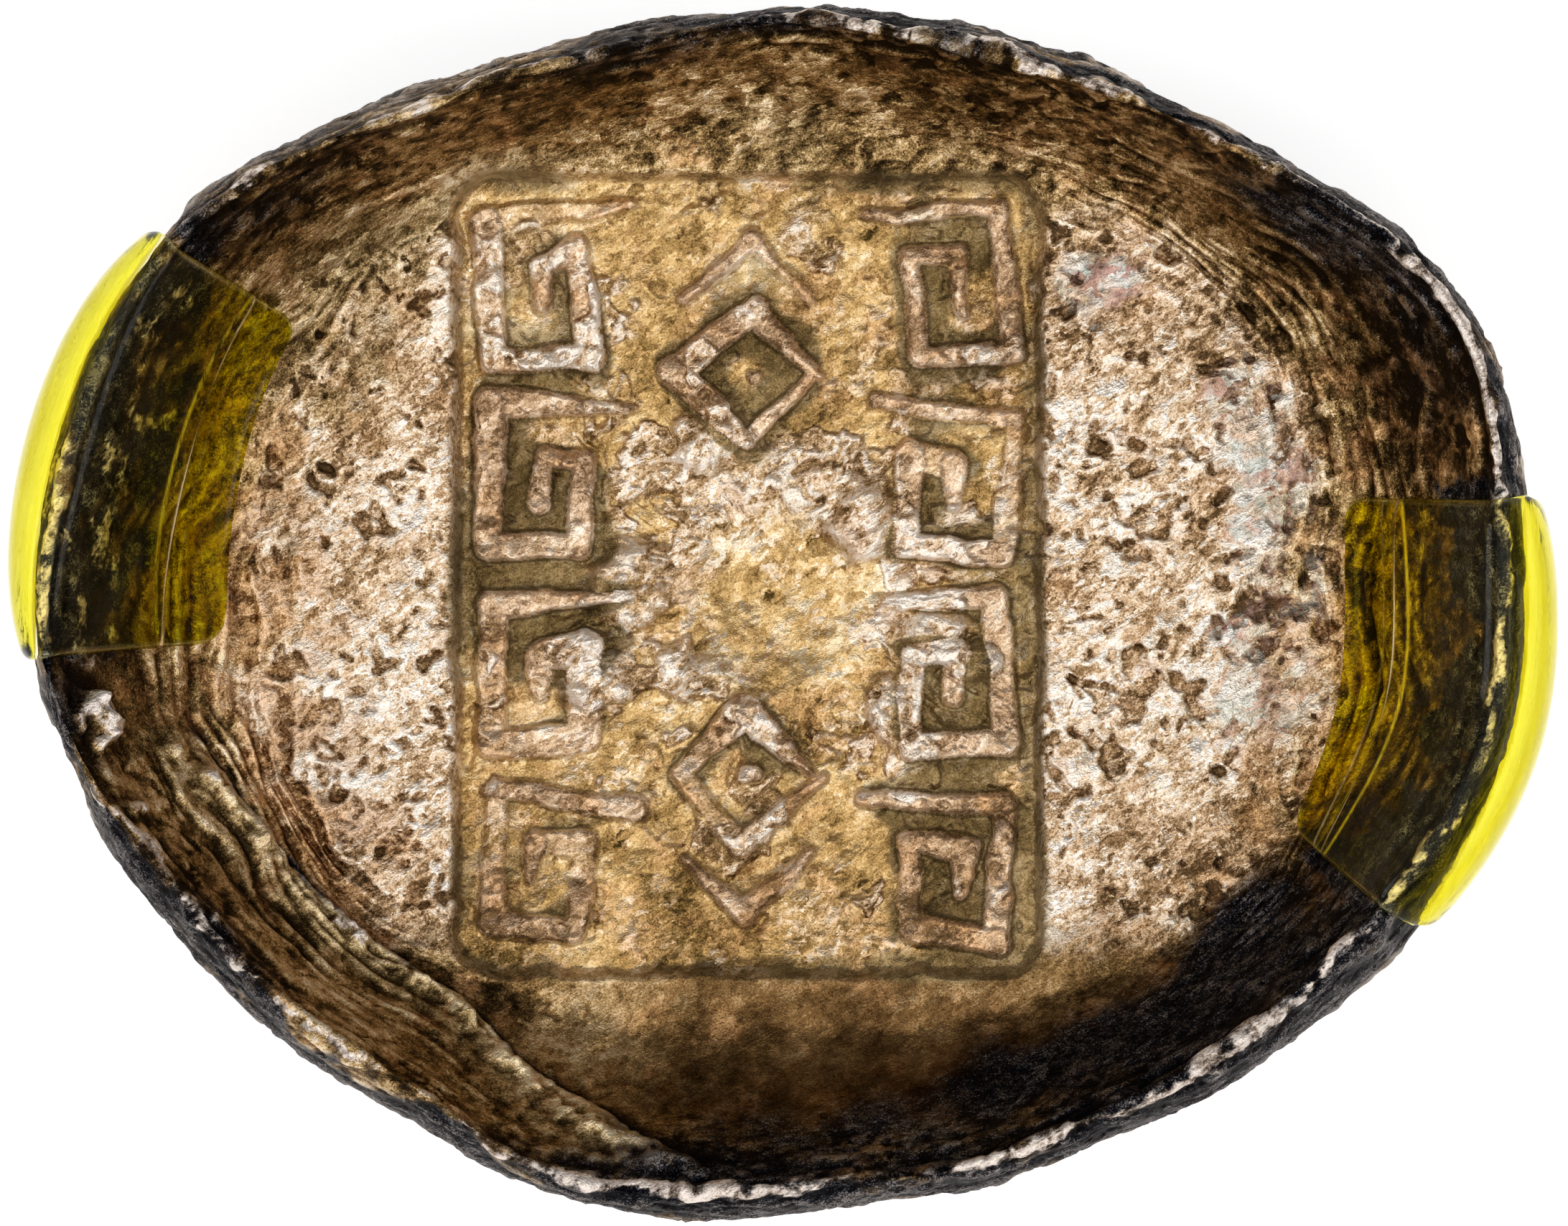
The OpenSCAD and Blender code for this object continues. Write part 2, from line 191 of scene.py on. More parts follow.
out = facing(surface)
wall = np.clip(along - 2, 0, 1)
on_wall = rise(along, 1.98, 2.1) * fall(along, 2.9, 3.12)
on_rim = rise(along, 0.75, 1.3) * fall(along, 2.0, 2.35)
on_flank = fall(along, 1.0, 1.5)
above_below = rise(np.abs(surface[..., 1] - panel_y), 14.5, 17.5)
on_field = rise(along, 2.85, 3.05) * (1 - above_below)
calm = np.clip(lobes(angle, [(278, 34, 1.0)]), 0, 1) * rise(wall, 0.25, 0.5)

# Skin of the pour: lumps and a thin lip on the rim, strain lines on the flank, a torn and pitted field
lip_height, lip_width, hole_depth = 0.18, 0.38, 0.2
lumps = grain(surface, 4.2, 2, 1)
crumbs = grain(surface, 1.4, 3, 2)
drift = grain(surface, 7.0, 2, 4)
shift = np.stack([grain(surface, 1.1, 2, seed) for seed in (21, 22, 23)], axis=-1)
torn = surface + 0.5 * shift
brushing = np.array([[0.37, -0.57, 0], [0.26, 0.82, 0], [0, 0, 1]])
flakes = grain(torn @ brushing, 0.55, 3, 3)
zones = rise(grain(surface, 5.0, 2, 34), -0.35, 0.35)
holes = rise(grain(torn, 1.2, 3, 31) + 0.45 * zones, 0.78, 0.95)
holes = np.maximum(holes, 0.7 * rise(grain(torn, 0.6, 2, 32) + 0.3 * zones, 0.78, 0.9))
crest_away = np.linalg.norm(surface - over_rim(angle, 1 + 0 * angle), axis=-1) * np.sign(along - 2)
crest_run = crest_away + 0.55 * grain(surface, 2.2, 3, 41)
lip = hump(crest_run, lip_width)


def streaks(across, size, octaves, seed):
    """Chance relief drawn out around the oval, and this fine across it in millimetres."""
    return grain(np.stack([angle * size * cells / 360, across, 0 * across], axis=-1), size, octaves, seed)


strain = streaks(along * 18 + 0.7 * lumps, 0.9, 2, 6)
crumple = streaks(crest_away + 0.35 * crumbs + 0.5 * lumps, 0.6, 2, 9)
skin = (
    on_rim * (0.2 * lumps + 0.13 * crumbs + 0.05 * flakes + 0.15 * crumple)
    + lip_height * lip * (0.8 + 0.35 * lumps)
    + on_flank * (0.16 * lumps + 0.1 * strain + 0.06 * crumbs)
    + on_wall * (1 - calm) * (0.035 * crumbs + 0.02 * flakes)
    + on_field * (0.045 * flakes + 0.07 * crumbs) * (0.4 + 0.8 * zones)
    - hole_depth * holes * (on_field + 0.5 * on_rim + 0.25 * on_wall * (1 - calm))
)

# Ripples where the skin set in steps as the metal sank, closest at the lower left and along the right
ripple_lobes = [(206, 30, 1.0), (18, 34, 0.55), (54, 18, 0.35), (168, 18, 0.6), (336, 22, 0.4), (140, 16, 0.25)]
coarse_ripple, fine_ripple, least_ripple = 0.12, 0.14, 0.08
broken = rise(grain(surface, 3.5, 2, 44), -0.5, 0.4)
ripple_zone = (least_ripple + lobes(angle, ripple_lobes)) * rise(wall, 0.1, 0.45) * fall(along, 2.98, 3.14)
ripple_zone = ripple_zone * (0.35 + 0.9 * broken) * (1 - 0.85 * calm)
ripple_run = wall_run * wall + field_run * np.clip(along - 3, 0, 1) + 1.2 * drift + 0.4 * lumps + 0.12 * crumbs
ripples = coarse_ripple * streaks(ripple_run, 1.0, 2, 5) + fine_ripple * streaks(ripple_run, 0.32, 2, 7)
skin = skin + ripple_zone * ripples

# Where the skin folded over itself at the lower left, a terrace below the rim ends in a crumpled ledge
terrace_height, ledge_height, ledge_width = 0.55, 0.34, 0.075
fold_turns = [186, 196, 209, 220, 237, 245, 254, 264]
fold_depths = [0.55, 0.61, 0.72, 0.76, 0.73, 0.54, 0.35, 0.1]
fold_gap = wall - np.interp(angle, fold_turns, fold_depths) + 0.035 * crumbs + 0.06 * drift
fold_there = rise(angle, 186, 198) * fall(angle, 256, 268) * on_wall
terrace = fold_there * fall(fold_gap, -0.03, 0.03) * rise(fold_gap, -0.4, 0)
ledge = fold_there * hump(fold_gap + 0.07, ledge_width) * np.clip(0.75 + 0.8 * crumbs + 0.5 * flakes, 0.1, 1.7)
skin = skin + terrace_height * terrace + ledge_height * ledge

# Splash beads past the end of the left clip, each a drop of metal stuck to the rim
bead = np.zeros_like(wall)
for past, place, size in [(6, 1.14, 1.3), (14, 1.1, 0.6), (20, 1.06, 0.6), (25, 1.04, 0.45)]:
    centre = over_rim(np.array([left_clip_at + clip_arc / 2 + past]), np.array([place]))[0]
    away = np.linalg.norm(surface + 0.6 * shift - centre, axis=-1) / size
    bead = np.maximum(bead, 0.7 * size * rise(1.2 - away, 0, 0.8) * (1 + 0.4 * flakes + 0.3 * crumbs))
skin = skin + bead

# Gas pits of the underside: large ones strewn over the flank from the foot up, and small ones between them
pit_count, pit_turn, pit_low, pit_high, pit_crowding = 72, 137.5, 0.08, 0.72, 0.75
pit_radius, pit_wander, pit_least, pit_depth, small_pit_depth = 1.7, 97.0, 0.45, 0.45, 0.3
pits = small_pit_depth * rise(grain(surface + 0.4 * shift, 1.7, 2, 33), 0.35, 0.65) * fall(along, 0.5, 0.85)
under = slice(0, int((along[:, 0] < 1).sum()))
for k in range(pit_count):
    up = pit_low + (pit_high - pit_low) * ((k + 0.5) / pit_count) ** pit_crowding
    size = pit_radius * (pit_least + (1 - pit_least) * (1 + math.sin(math.radians(pit_wander * k))) / 2)
    away = np.linalg.norm(surface[under] + 0.35 * shift[under] - up_flank(pit_turn * k, up), axis=-1)
    deep = np.sqrt(np.clip(size**2 - away**2, 0, None)) - (1 - pit_depth) * size
    pits[under] = np.maximum(pits[under], deep)
skin = skin - pits
skin = np.where(along < 0.02, np.minimum(skin, 0), skin)


def near_clip(direction):
    """1 where a clip covers the rim, so that the skin there stays inside the clip's gap."""
    away = np.abs(((angle - direction + 180) % 360) - 180) - clip_arc / 2
    return fall(away, 0.7, 2.5) * rise(along, 0.4, 0.7) * fall(along, 2.95, 3.1)


lowest_under_clip, highest_under_clip = -0.4, 0.2
covered = np.maximum(near_clip(left_clip_at), near_clip(right_clip_at))
skin = skin * (1 - covered) + covered * np.clip(skin, lowest_under_clip, highest_under_clip)
points = surface + out * skin[..., None]
points[..., 2] = np.maximum(points[..., 2], 0)

# The struck panel: a punch with squared spirals, lozenges and chevrons left this relief, worn away round a hollow
panel_z, panel_hollow, stroke_width, stroke_height = field_z - field_sag - 0.9, 200.0, 1.2, 0.62
panel_margin, spiral_lane, spiral_rows, dot_width = 1.1, 1.2, 4, 1.5
spiral_side = (panel_length - 2 * panel_margin - (spiral_rows - 1) * spiral_lane) / spiral_rows
spiral_step = (spiral_side - stroke_width) / 3
spiral_column = panel_width / 2 - panel_margin - spiral_side / 2
lane_half = spiral_column - spiral_side / 2 - spiral_lane / 2
lozenge_y = panel_length / 2 - panel_margin - 2 * lane_half
chance = np.random.default_rng(5)
strokes = []


def strike(path, width):
    """Adds a run of strokes through these corners, cut by hand: uneven, and drawn out thin at both ends."""
    path = np.array(path) + chance.uniform(-0.3, 0.3, (len(path), 2))
    wide = width / 2 * chance.uniform(0.65, 1.35, len(path))
    wide[[0, -1]] *= chance.uniform(0.25, 0.75, 2)
    for a, b, near, far in zip(path[:-1], path[1:], wide[:-1], wide[1:]):
        strokes.append((a, b, near, far, chance.uniform(0.6, 1.1)))


spiral = (np.array([(3, 3), (0, 3), (0, 0), (2, 0), (2, 2), (1, 2), (1, 1)]) - 1.5) * spiral_step
for side, tilts in [(-1, [5, -4, 3, -6]), (1, [-3, 6, -5, 4])]:
    for row, tilt in enumerate(tilts):
        t = math.radians(tilt)
        turned = spiral @ np.array([[math.cos(t), math.sin(t)], [-math.sin(t), math.cos(t)]])
        middle_y = panel_length / 2 - panel_margin - spiral_side / 2 - row * (spiral_side + spiral_lane)
        strike(turned * [-side, 1] + [side * spiral_column, middle_y], stroke_width)
for side in (-1, 1):
    reach = lane_half - stroke_width / math.sqrt(2)
    spot = np.array([0, side * lozenge_y])
    strike(spot + [(reach, 0), (0, reach), (-reach, 0), (0, -reach), (reach, 0)], stroke_width)
    strike(spot + [(0, -0.3), (0, 0.3)], dot_width)
    strike(spot + [(-2.6, side * 3.7), (0, side * 6.3), (2.6, side * 3.7)], stroke_width)

px, py = points[..., 0] - panel_x, points[..., 1] - panel_y
beyond_x, beyond_y = np.abs(px) - panel_width / 2 + panel_corner, np.abs(py) - panel_length / 2 + panel_corner
outside = (
    np.hypot(np.maximum(beyond_x, 0), np.maximum(beyond_y, 0))
    + np.minimum(np.maximum(beyond_x, beyond_y), 0)
    - panel_corner
    + 0.16 * crumbs
)
in_dish = along > 2.2
in_panel = fall(outside, -0.4, 0.2) * in_dish
wobble_x, wobble_y = 0.16 * grain(surface, 1.5, 3, 8), 0.16 * grain(surface, 1.5, 3, 9)
stroke = np.zeros_like(wall)
for a, b, near, far, tall in strokes:
    run = b - a
    there = np.clip(((px + wobble_x - a[0]) * run[0] + (py + wobble_y - a[1]) * run[1]) / (run @ run), 0, 1)
    away = np.hypot(px + wobble_x - a[0] - there * run[0], py + wobble_y - a[1] - there * run[1])
    stroke = np.maximum(stroke, tall * rise(near + (far - near) * there - away, -0.14, 0.16))
stroke = stroke * (0.65 + 0.4 * rise(grain(surface, 5.0, 2, 14), -0.4, 0.2))
hollow_radius, hollow_depth, hollow_x, hollow_y, heap_height, crust_height = 3.4, 0.8, 1.0, -1.0, 0.9, 0.1
heaps = [(-0.12, 0.35, 1.9, 1.0), (-0.4, -0.03, 2.0, 1.0), (-0.52, -0.26, 1.7, 0.8), (-0.23, -0.25, 1.5, 0.7)]
heaps += [(0.41, 0.13, 1.9, 1.0), (0.64, -0.13, 1.4, 0.9), (0.78, -0.22, 1.2, 0.8), (0.5, -0.35, 1.6, 0.8)]
heap = np.zeros_like(wall)
for across, up, radius, share in heaps:
    heap_x, heap_y = across * panel_width / 2, up * panel_length / 2
    spread = np.hypot(px + 3 * wobble_x - heap_x, py + 3 * wobble_y - heap_y) / radius
    heap = np.maximum(heap, 0.85 * heap_height * share * rise(1.2 - spread, 0, 0.85))
heap = heap * (0.95 + 0.25 * crumbs + 0.1 * flakes) * in_panel
from_middle = np.hypot(px - hollow_x, py - hollow_y) + 0.4 * drift + 0.3 * crumbs
worn = fall(from_middle, 3.8, 5.6) * in_panel
stroke = stroke * (1 - worn) * in_panel
crust = grain(torn, 2.4, 4, 49) + 0.75 * hump(from_middle - 7, 3.5) - 0.02 * np.maximum(-py, 0)
crust = np.maximum(rise(crust, 0.4, 0.62) * rise(from_middle, 3, 5), rise(heap, 0.08, 0.35)) * in_panel
crusted = crust_height * crust * (1 + flakes)
hollow = hollow_depth * np.clip(1 - (from_middle / (hollow_radius + 1.2)) ** 2, 0, 1) ** 1.6
dimples = 0.08 * crumbs + 0.05 * flakes + 0.12 * drift - 0.12 * holes
panel_floor = panel_z + py**2 / (2 * panel_hollow) - hollow + dimples * (1 - 0.6 * worn)
struck = panel_floor + np.maximum(stroke_height * stroke * (0.95 + 0.2 * crumbs), heap) + crusted
points[..., 2] = points[..., 2] * (1 - in_panel) + in_panel * np.minimum(struck, points[..., 2] + 0.2)

rings = len(points)
top = points[-1].mean(axis=0, keepdims=True)
vertices = np.concatenate([points.reshape(-1, 3), [[0.0, 0.0, 0.0]], top]) * millimetre
i, j = np.meshgrid(np.arange(rings - 1), np.arange(around), indexing="ij")
k = (j + 1) % around
quads = [i * around + j, i * around + k, (i + 1) * around + k, (i + 1) * around + j]
quads = np.stack(quads, axis=-1).reshape(-1, 4)
j, k = j[0], k[0]
below = np.stack([k, j, 0 * j + rings * around], axis=-1)
above = np.stack([(rings - 1) * around + j, (rings - 1) * around + k, 0 * j + rings * around + 1], axis=-1)


def mesh_from(name, vertices, quads, triangles=np.zeros((0, 3), int)):
    """A smooth mesh from corner points in metres and arrays of four- and three-sided faces."""
    mesh = bpy.data.meshes.new(name)
    corners = np.concatenate([quads.reshape(-1), triangles.reshape(-1)]).astype(np.int32)
    starts = np.concatenate([4 * np.arange(len(quads)), 4 * len(quads) + 3 * np.arange(len(triangles))])
    mesh.vertices.add(len(vertices))
    mesh.loops.add(len(corners))
    mesh.polygons.add(len(starts))
    mesh.vertices.foreach_set("co", vertices.astype(np.float32).reshape(-1))
    mesh.loops.foreach_set("vertex_index", corners)
    mesh.polygons.foreach_set("loop_start", starts.astype(np.int32))
    mesh.update(calc_edges=True)
    mesh.validate()
    mesh.shade_smooth()
    return mesh


def mark(mesh, name, amounts):
    """Stores one amount for each point of a mesh, for its finish to read."""
    layer = mesh.attributes.new(name, "FLOAT", "POINT")
    layer.data.foreach_set("value", amounts.astype(np.float32))


def put_in_scene(name, data):
    """Sets a mesh, a lamp or a camera up in the scene."""
    thing = bpy.data.objects.new(name, data)
    bpy.context.scene.collection.objects.link(thing)
    return thing


def softened(amounts, times):
    """The same amounts, each blended with its neighbours this many times over."""
    for _ in range(times):
        row = amounts + np.roll(amounts, 1, axis=1) + np.roll(amounts, -1, axis=1)
        amounts = (row + np.vstack([row[:1], row[:-1]]) + np.vstack([row[1:], row[-1:]])) / 9
    return amounts


# What the finish reads at each point: how proud it stands of its surroundings, and which part of the casting it is
struck_relief = np.maximum(stroke_height * stroke, heap) + crusted + dimples - hollow
lifted = skin * (1 - in_panel) + in_panel * struck_relief
# Besides wear, these make proud edges and tops lighter as painted highlights and low places darker as painted shade
edge_wear = 0.5 + 0.5 * np.tanh((lifted - softened(lifted, 10)) / 0.06)
broad_wear = 0.5 + 0.5 * np.tanh((softened(lifted, 3) - softened(lifted, 90)) / 0.2)
dx, dy = points[..., 0], points[..., 1]

# Painted shade in the corners of the panel and between close strokes, and a painted shadow along its border
crowded = softened(stroke, 100) * (1 - rise(stroke, 0.15, 0.5))
grime = rise(crowded + 0.14 * drift + 0.08 * crumbs, 0.1, 0.42) * in_panel * (1 - worn)
border_shadow = hump(outside + 0.35, 0.8) * np.clip(0.66 + 0.5 * drift + 0.25 * crumbs, 0.2, 1)
grime = np.maximum(grime, border_shadow * in_dish)

# Soot below the rim: a broad brown dusk, black in its deeper parts, outside the crest and under the clips, and a
# painted black shadow line in the fold below its ledge
soot_lobes = [(-36, 17, 0.85), (-62, 18, 0.42), (28, 20, 0.42), (4, 14, 0.3), (268, 26, 0.24), (166, 15, 0.47)]
soot_reach = 0.07 + lobes(angle, soot_lobes)
clean_terrace = lobes(angle, [(215, 26, 0.4)]) * rise(wall, 0.05, 0.2)
dusk = rise(soot_reach + 0.2 * drift + 0.1 * crumbs - wall - clean_terrace, -0.4, 0.3)
dusk = dusk * fall(along, 2.9, 3.25) * rise(along + 0.12 * drift + 0.08 * crumbs, 0.35, 1.25)
clean_corner = rise(dx, -2, 16) * rise(dy, 0, 8)
soot = dusk * rise(1.1 * grain(surface, 3.2, 4, 45) + 1.6 * dusk - 0.5 * clean_corner, 0.4, 1.65)
soot = softened(soot, 60)
# A painted black shadow line in the fold, just below the ledge
soot = np.maximum(soot, fold_there * hump(fold_gap - 0.01, 0.06) * np.clip(0.7 + drift + crumbs, 0, 1))
outer_strip = rise(along, 0.8, 1.25) * fall(along, 1.8, 1.97) * rise(grain(surface, 2.6, 3, 51), -0.75, 0.0)
soot = np.maximum(soot, outer_strip * (1 - 0.6 * lobes(angle, [(130, 24, 1.0)])))
hidden = rise(soot_reach + 0.25 * drift + 0.16 * crumbs - wall, -0.03, 0.03)
hidden = hidden * (1 - 0.6 * fall(dx, -1, 0) * rise(grain(surface, 2.4, 3, 46), -0.1, 0.25))
under_clip = covered * rise(along + 0.15 * drift, 0.9, 1.4)
soot = soot * (1 - under_clip) + under_clip * hidden

# Bare bright metal with painted highlights on it: a thin broken line along the crest, wider at the top left, and on
# the beads and the ledge
outer_run = crest_run + 0.15 + lobes(angle, [(125, 32, 0.4), (60, 20, 0.2)])
broad = 0.35 + lobes(angle, [(120, 40, 0.5), (222, 24, 0.3), (30, 20, 0.2)])
bright = broad * hump(outer_run, 0.5) * rise(crumple + 0.3 * lumps, 0.0, 0.5)
bright = bright + 0.62 * hump(outer_run, 0.2) * rise(lumps, -0.9, 0.1) + 0.65 * rise(bead, 0.1, 0.35)
# Under the left clip the crest line gives way to silver patches: bare metal with painted glints
at_left = covered * fall(dx, -1, 0)
bare_and_glint_under_clip = rise(grain(surface, 1.9, 4, 48), 0.2, 0.55) * fall(wall, 0.4, 0.55)
bright = bright * (1 - 0.7 * at_left) + 0.55 * at_left * bare_and_glint_under_clip
bright = bright + 0.75 * rise(ledge, 0.5, 1.0) * rise(lumps + crumbs, -0.2, 0.5) * fall(angle, 215, 240)

# Golden terrace and upper wall, copper flush round the field, sheen at the right, and a tone that is lighter or darker
# at random and at given spots
gold_patches = rise(grain(surface, 5.5, 2, 50), 0.1, 0.6) * rise(dy, 5, 18) * rise(wall, 0.4, 0.7)
gold = terrace * (0.9 + 0.5 * drift) + 0.7 * gold_patches
copper = lobes(angle, [(204, 20, 1.0), (172, 14, 0.6), (340, 26, 0.5), (20, 20, 0.35)])
copper = copper * rise(along, 2.5, 2.75) * fall(along, 3.0, 3.25)
right_sheen = rise(dx, 16, 22) * on_field * fall(np.abs(dy - 3), 7, 13)
tarnish = hump(dx - 14.4, 2.2, dy - 15.0, 2.4) + 0.75 * right_sheen
rubbed = 0.3 + 0.5 * rise(grain(surface, 4.5, 3, 47), -0.5, 0.5)
for x, y, wide, tall, amount in [
    (16.5, 1, 4.5, 9, 0.3),
    (21, -12, 6, 5, -0.6),
    (-18, -2, 5, 8, 0.25),
    (19.2, 4.4, 1.5, 2.4, -0.6),
    (18, 14, 5, 4, -0.3),
    (24, 11, 5, 7, -0.4),
]:
    rubbed = rubbed + amount * hump(dx - x, wide, dy - y, tall)
# The panel lighter in its middle and darker towards the bottom
rubbed = rubbed + in_panel * (0.25 * hump(dy - 4, 9) - 0.35 * fall(dy, -12, -6))
rubbed = (rubbed - 0.3 * holes) * (1 - terrace) + terrace * (0.9 + 0.3 * drift - 0.7 * ledge)
steep = rise(1 - facing(points)[..., 2], 0.08, 0.4) * fall(outside, 0.6, 1.2) * in_dish
wall_edge = fall(along + 0.12 * crumbs + 0.12 * drift, 2.8, 3.12)
ingot_mesh = mesh_from("ingot_casting", vertices, quads, np.concatenate([below, above]))
for name, amounts in [
    ("panel", in_panel * (1 - 0.85 * crust * (1 - grime))),
    ("stroke", stroke),
    ("worn", worn),
    ("wall", np.maximum(wall_edge, above_below) * rise(along, 0.9, 1.9)),
    ("calm", calm),
    ("grime", grime),
    ("rubbed", rubbed),
    ("flank", fall(along, 0.8, 1.7)),
    ("edge_wear", edge_wear),
    ("broad_wear", broad_wear),
    ("soot", soot),
    ("dusk", dusk),
    ("bright", bright),
    ("tarnish", tarnish * (1 - in_panel)),
    ("steep", steep),
    ("gold", gold * (1 - in_panel)),
    ("copper", copper * (1 - in_panel) * (1 - terrace)),
]:
    flat = np.clip(amounts, 0, 1).reshape(-1)
    mark(ingot_mesh, name, np.concatenate([flat, [flat[0], flat[-1]]]))


class Tint:
    """One value or colour of a finish. Arithmetic on it adds the nodes that work it out."""

    def __init__(self, tree, socket=None):
        self.tree, self.socket = tree, socket

    def node(self, kind, settings=None, sockets=None, output=0):
        """Adds a node of this type, sets it up, then fills or links its sockets."""
        made = self.tree.nodes.new("ShaderNode" + kind)
        for name, value in (settings or {}).items():
            if name == "stops":
                ramp = made.color_ramp.elements
                while len(ramp) < len(value):
                    ramp.new(0.5)
                for element, (place, colour) in zip(ramp, value):
                    element.position, element.color = place, (*colour, 1)
            else:
                setattr(made, name, value)
        for name, value in (sockets or {}).items():
            if isinstance(value, Tint):
                self.tree.links.new(value.socket, made.inputs[name])
            elif isinstance(value, tuple) and len(value) == 3 and made.inputs[name].type == "RGBA":
                made.inputs[name].default_value = (*value, 1)
            else:
                made.inputs[name].default_value = value
        return Tint(self.tree, made.outputs[output] if made.outputs else None)

    def maths(self, operation, a, b):
        return self.node("Math", {"operation": operation}, {0: a, 1: b})

    def __add__(self, other):
        return self.maths("ADD", self, other)

    def __radd__(self, other):
        return self.maths("ADD", other, self)

    def __sub__(self, other):
        return self.maths("SUBTRACT", self, other)

    def __rsub__(self, other):
        return self.maths("SUBTRACT", other, self)

    def __mul__(self, other):
        return self.maths("MULTIPLY", self, other)

    def __rmul__(self, other):
        return self.maths("MULTIPLY", other, self)

    def between(self, low, high):
        """0 where this is low, 1 where it is high, eased and held at both ends."""
        return self.node(
            "MapRange",
            {"interpolation_type": "SMOOTHSTEP"},
            {"Value": self, "From Min": low, "From Max": high, "To Min": 0.0, "To Max": 1.0},
        )

    def mix(self, first, second):
        """The first colour where this is 0, the second where it is 1."""
        return self.node("Mix", {"data_type": "RGBA"}, {0: self, 6: first, 7: second}, 2)

    def shades(self, *stops):
        """A run of colours by this amount."""
        return self.node("ValToRGB", {"stops": stops}, {0: self})


def finish(name):
    """A new material, with its empty sheet of nodes."""
    material = bpy.data.materials.new(name)
    material.use_nodes = True
    material.node_tree.nodes.clear()
    return material, Tint(material.node_tree)


silver, at = finish("tarnished_silver")
place = at.node("TexCoord", output=3)


def marked(name):
    """An amount that the mesh stores for each point."""
    return at.node("Attribute", {"attribute_name": name}, output=2)


def mottle(size, detail, roughness=0.6, twist=0.0, over=place):
    """Cloudy chance shading, with patches of this size in millimetres."""
    sockets = {"Vector": over, "Scale": 1000 / size, "Detail": detail, "Roughness": roughness, "Distortion": twist}
    return at.node("TexNoise", {}, sockets)


def drawn_out(angle, length):
    """Places on the casting for a pattern that is drawn out this many times along one direction."""
    sockets = {"Vector": place, "Rotation": (0.0, 0.0, angle), "Scale": (length, 1.0, 1.0)}
    return at.node("Mapping", {"vector_type": "TEXTURE"}, sockets)


def flakes_of(size, over):
    """Random colours of crystal flakes of this size in millimetres, with crisp borders."""
    return at.node("TexVoronoi", {}, {"Vector": over, "Scale": 1000 / size, "Randomness": 1.0}, 1)


def vectors(operation, *inputs):
    """Arithmetic on places, colours and directions."""
    return at.node("VectorMath", {"operation": operation}, dict(enumerate(inputs)))


tear, lean = 0.0009, 0.36
swept = drawn_out(0.6, 2.0)
ragged = at.node("TexNoise", {}, {"Vector": place, "Scale": 1400.0, "Detail": 3.0, "Roughness": 0.6}, 1)
ragged = vectors("MULTIPLY_ADD", ragged, (tear, tear, tear), swept)
plates, chips = flakes_of(0.5, ragged), flakes_of(0.16, ragged)
clouds, blotches, patches = mottle(7, 2), mottle(2.6, 3, 0.55, 0.3), mottle(1.1, 5, 0.62, 0.4)
flecks, dust = mottle(0.22, 3, 0.6, 0.2, swept), mottle(0.08, 1)
scratches = mottle(0.1, 2, 0.5, 0.1, drawn_out(0.5, 14.0)).between(0.6, 0.72)
panel, raised, wall_share, flank_share = marked("panel"), marked("stroke"), marked("wall"), marked("flank")
# edges and high lighten proud places as painted highlights and darken low ones as painted shade, besides wear
edges, high, grime = marked("edge_wear") - 0.5, marked("broad_wear") - 0.5, marked("grime")
plate = plates * 0.5 + chips * 0.5
fine = patches * 0.36 + flecks * 0.34 + dust * 0.32 + plate * 0.3 + (clouds - 0.5) * 0.2 - 0.16
satin = clouds * 0.42 + blotches * 0.3 + patches * 0.3 + flecks * 0.12 + dust * 0.26 + plate * 0.12 - 0.26
pores = at.node("TexVoronoi", {}, {"Vector": ragged, "Scale": 800.0, "Randomness": 1.0})
pores = (1 - pores.between(0.1, 0.24)) * flakes_of(1.25, ragged).between(0.5, 0.55)

# The colours of each part of the casting, from its darkest places to its lightest
field_value = fine + (plate - 0.5) * 0.16 + (blotches - 0.5) * 0.24 + edges * 0.2 + high * 0.06
field_value = field_value + marked("rubbed") * 0.22 + scratches * 0.05 - pores * 0.1 - 0.115
field_colour = field_value.shades(
    (0.28, (0.09, 0.05, 0.021)),
    (0.39, (0.27, 0.155, 0.07)),
    (0.47, (0.53, 0.345, 0.19)),
    (0.55, (0.82, 0.61, 0.405)),
    (0.66, (1.0, 0.91, 0.80)),
)
tarnish_colour = (plates * 0.5 + patches * 0.5 + edges * 0.2).shades(
    (0.30, (0.12, 0.07, 0.05)),
    (0.43, (0.66, 0.41, 0.36)),
    (0.52, (0.43, 0.53, 0.50)),
    (0.64, (0.90, 0.88, 0.83)),
)
panel_value = satin + (plate - 0.5) * 0.16 - edges * 0.1 + high * 0.06 + marked("worn") * 0.04
panel_value = panel_value + marked("rubbed") * 0.06 + scratches * 0.05 - pores * 0.16 - 0.03
panel_colour = panel_value.shades(
    (0.28, (0.045, 0.025, 0.006)),
    (0.38, (0.21, 0.122, 0.038)),
    (0.47, (0.46, 0.275, 0.096)),
    (0.57, (0.75, 0.505, 0.22)),
    (0.70, (0.99, 0.83, 0.55)),
)
stroke_value = fine + (plate - 0.5) * 0.1 + (blotches - 0.5) * 0.5 + marked("rubbed") * 0.2 - 0.095
stroke_colour = stroke_value.shades(
    (0.34, (0.16, 0.09, 0.04)),
    (0.44, (0.37, 0.225, 0.125)),
    (0.55, (0.60, 0.405, 0.25)),
    (0.67, (0.86, 0.67, 0.49)),
    (0.80, (1.0, 0.92, 0.82)),
)
